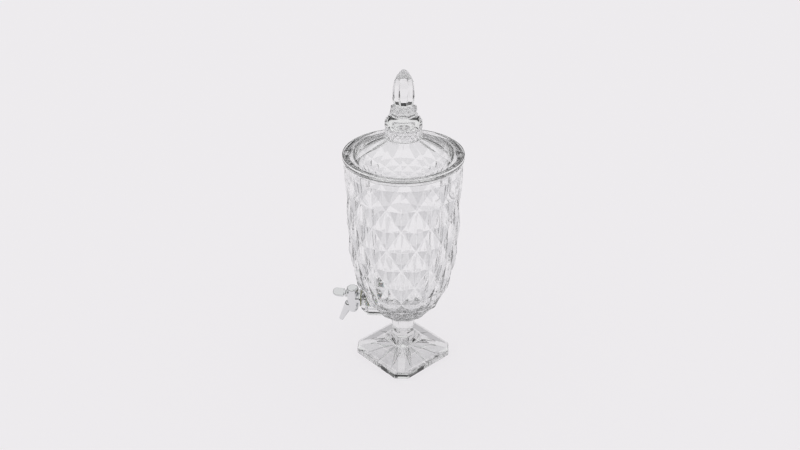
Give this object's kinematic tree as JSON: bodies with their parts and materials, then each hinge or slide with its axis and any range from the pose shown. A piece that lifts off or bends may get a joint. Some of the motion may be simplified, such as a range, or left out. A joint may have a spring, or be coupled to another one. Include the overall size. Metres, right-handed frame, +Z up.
{
  "type": "juice dispenser",
  "caption": "Clear diamond-cut glass urn on a square pedestal foot, with a loose glass lid, a tall faceted finial and a chromed press-lever tap, for serving cold drinks.",
  "frame": {"origin": "middle of the foot's flat underside, on the bowl's axis", "axes": "+Z up along the bowl's axis, -Y out through the tap, +X to the right of someone who faces the tap"},
  "size_m": [0.18, 0.2029, 0.4865],
  "materials": {
    "clear_glass": "clear colourless cut glass, polished",
    "clear_silicone": "thin translucent silicone",
    "tap_silicone": "translucent silicone with a pale yellow tint",
    "chrome": "bright chromed casting",
    "nylon": "milky moulded nylon",
    "stainless": "drawn stainless steel",
    "black_rubber": "black O-ring rubber"
  },
  "bodies": {
    "vessel": {"jar_bowl": "clear_glass", "pedestal_foot": "clear_glass", "tap_body": "chrome", "tap_cap": "chrome", "tap_flange": "chrome", "outer_gasket": "tap_silicone", "inner_gasket": "tap_silicone", "backing_washer": "nylon", "shank_nut": "nylon", "gland_bush": "nylon", "stem_seal": "black_rubber", "return_spring": "stainless", "lever_pin": "stainless"},
    "lid": {"lid_cover": "clear_glass", "lid_finial": "clear_glass", "lid_gasket": "clear_silicone"},
    "lever": {"lever": "chrome"},
    "plunger": {"valve_stem": "stainless", "seat_cup": "tap_silicone", "stem_clip": "stainless"}
  },
  "joints": [
    {"name": "lid_lift", "type": "slide", "parent": "vessel", "child": "lid", "axis": [0, 0, 1], "range_m": [0, 0.13]},
    {"name": "stem_lift", "type": "slide", "parent": "vessel", "child": "plunger", "axis": [0, 0, 1], "range_m": [0, 0.00298], "stiffness_N_per_m": 800, "springref_m": -0.003, "deforming": ["return_spring"]},
    {"name": "lever_press", "type": "hinge", "parent": "vessel", "child": "lever", "pos_m": [0, -0.09053, 0.1108], "axis": [1, 0, 0], "range_deg": [0, 18]}
  ],
  "couplings": [
    {"joint": "lever_press", "follows": "stem_lift", "rad_per_m": 105.26}
  ]
}
